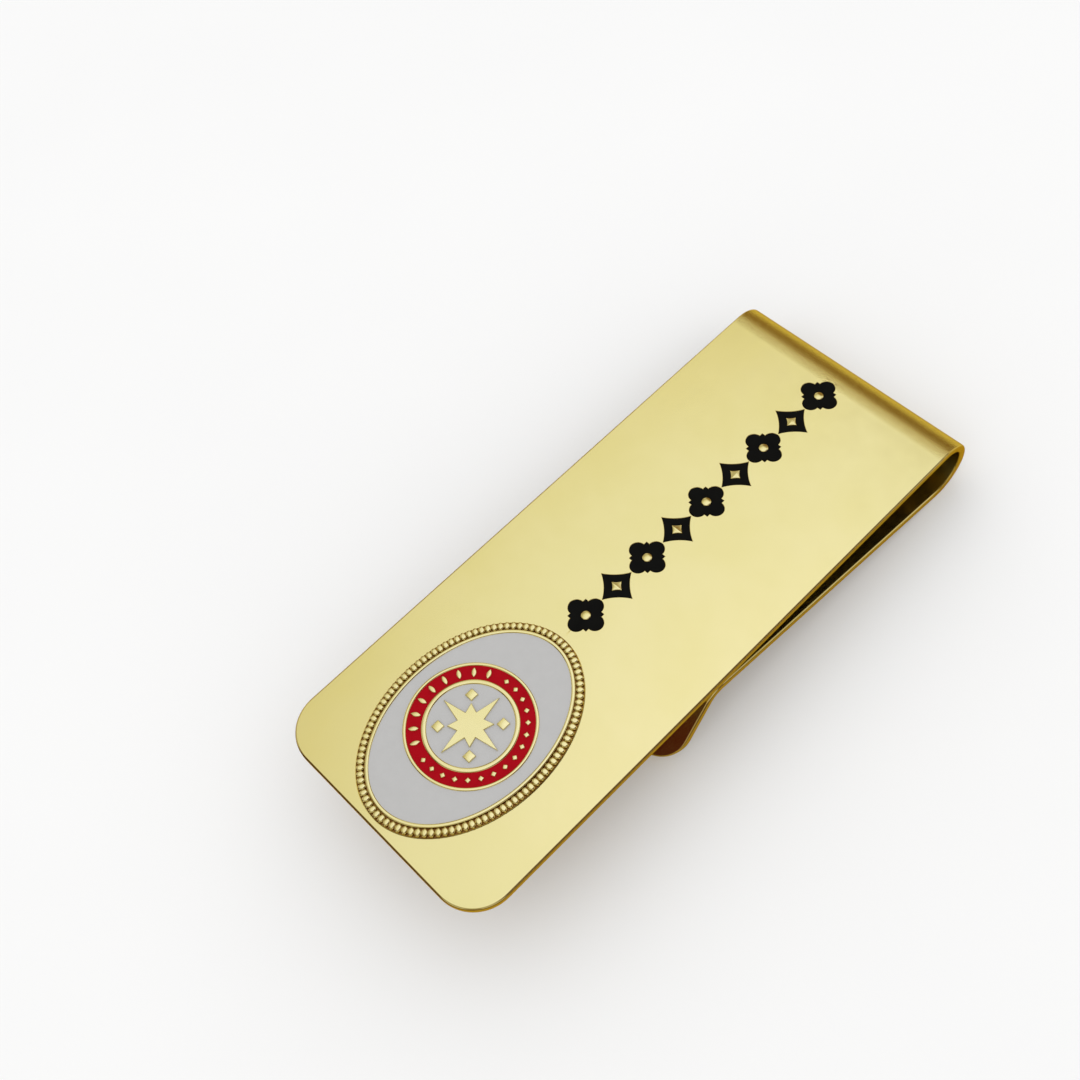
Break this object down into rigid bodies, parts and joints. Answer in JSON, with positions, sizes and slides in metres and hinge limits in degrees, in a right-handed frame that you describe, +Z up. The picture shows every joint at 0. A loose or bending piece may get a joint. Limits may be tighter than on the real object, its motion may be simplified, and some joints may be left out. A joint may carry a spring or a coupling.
{
  "type": "money clip",
  "caption": "Spring strip money clip, folded at one end, with an enamelled oval medallion and a row of inlaid ornaments on its face.",
  "frame": {"origin": "middle of the clip's footprint on the surface it lies on, resting on its bend and on the tip of its lip", "axes": "+X along the strip from its free end to the bend, +Y across the strip, +Z up, out of the decorated face"},
  "size_m": [0.0632, 0.0254, 0.0105],
  "materials": {
    "gold_plate": "polished pale gold plate",
    "struck_gold": "bright struck gold plate",
    "bond": "cured resin, hidden",
    "grey_enamel": "satin light grey enamel",
    "red_enamel": "glossy crimson enamel",
    "black_enamel": "glossy black enamel"
  },
  "bodies": {
    "face": {"front_plate": "gold_plate", "spring_bend": "gold_plate", "medallion_base": "struck_gold", "medallion_bond": "bond", "field_enamel": "grey_enamel", "ring_enamel": "red_enamel", "centre_enamel": "grey_enamel", "ornament_1": "black_enamel", "ornament_2": "black_enamel", "ornament_3": "black_enamel", "ornament_4": "black_enamel", "ornament_5": "black_enamel", "ornament_6": "black_enamel", "ornament_7": "black_enamel", "ornament_8": "black_enamel", "ornament_9": "black_enamel"},
    "leg": {"back_leg": "gold_plate"}
  },
  "joints": [
    {"name": "leg_flex", "type": "hinge", "parent": "face", "child": "leg", "pos_m": [0.02832, 0, 0.0033], "axis": [0, -1, 0], "range_deg": [0, 8], "stiffness_Nm_per_rad": 4, "deforming": ["spring_bend"]}
  ]
}
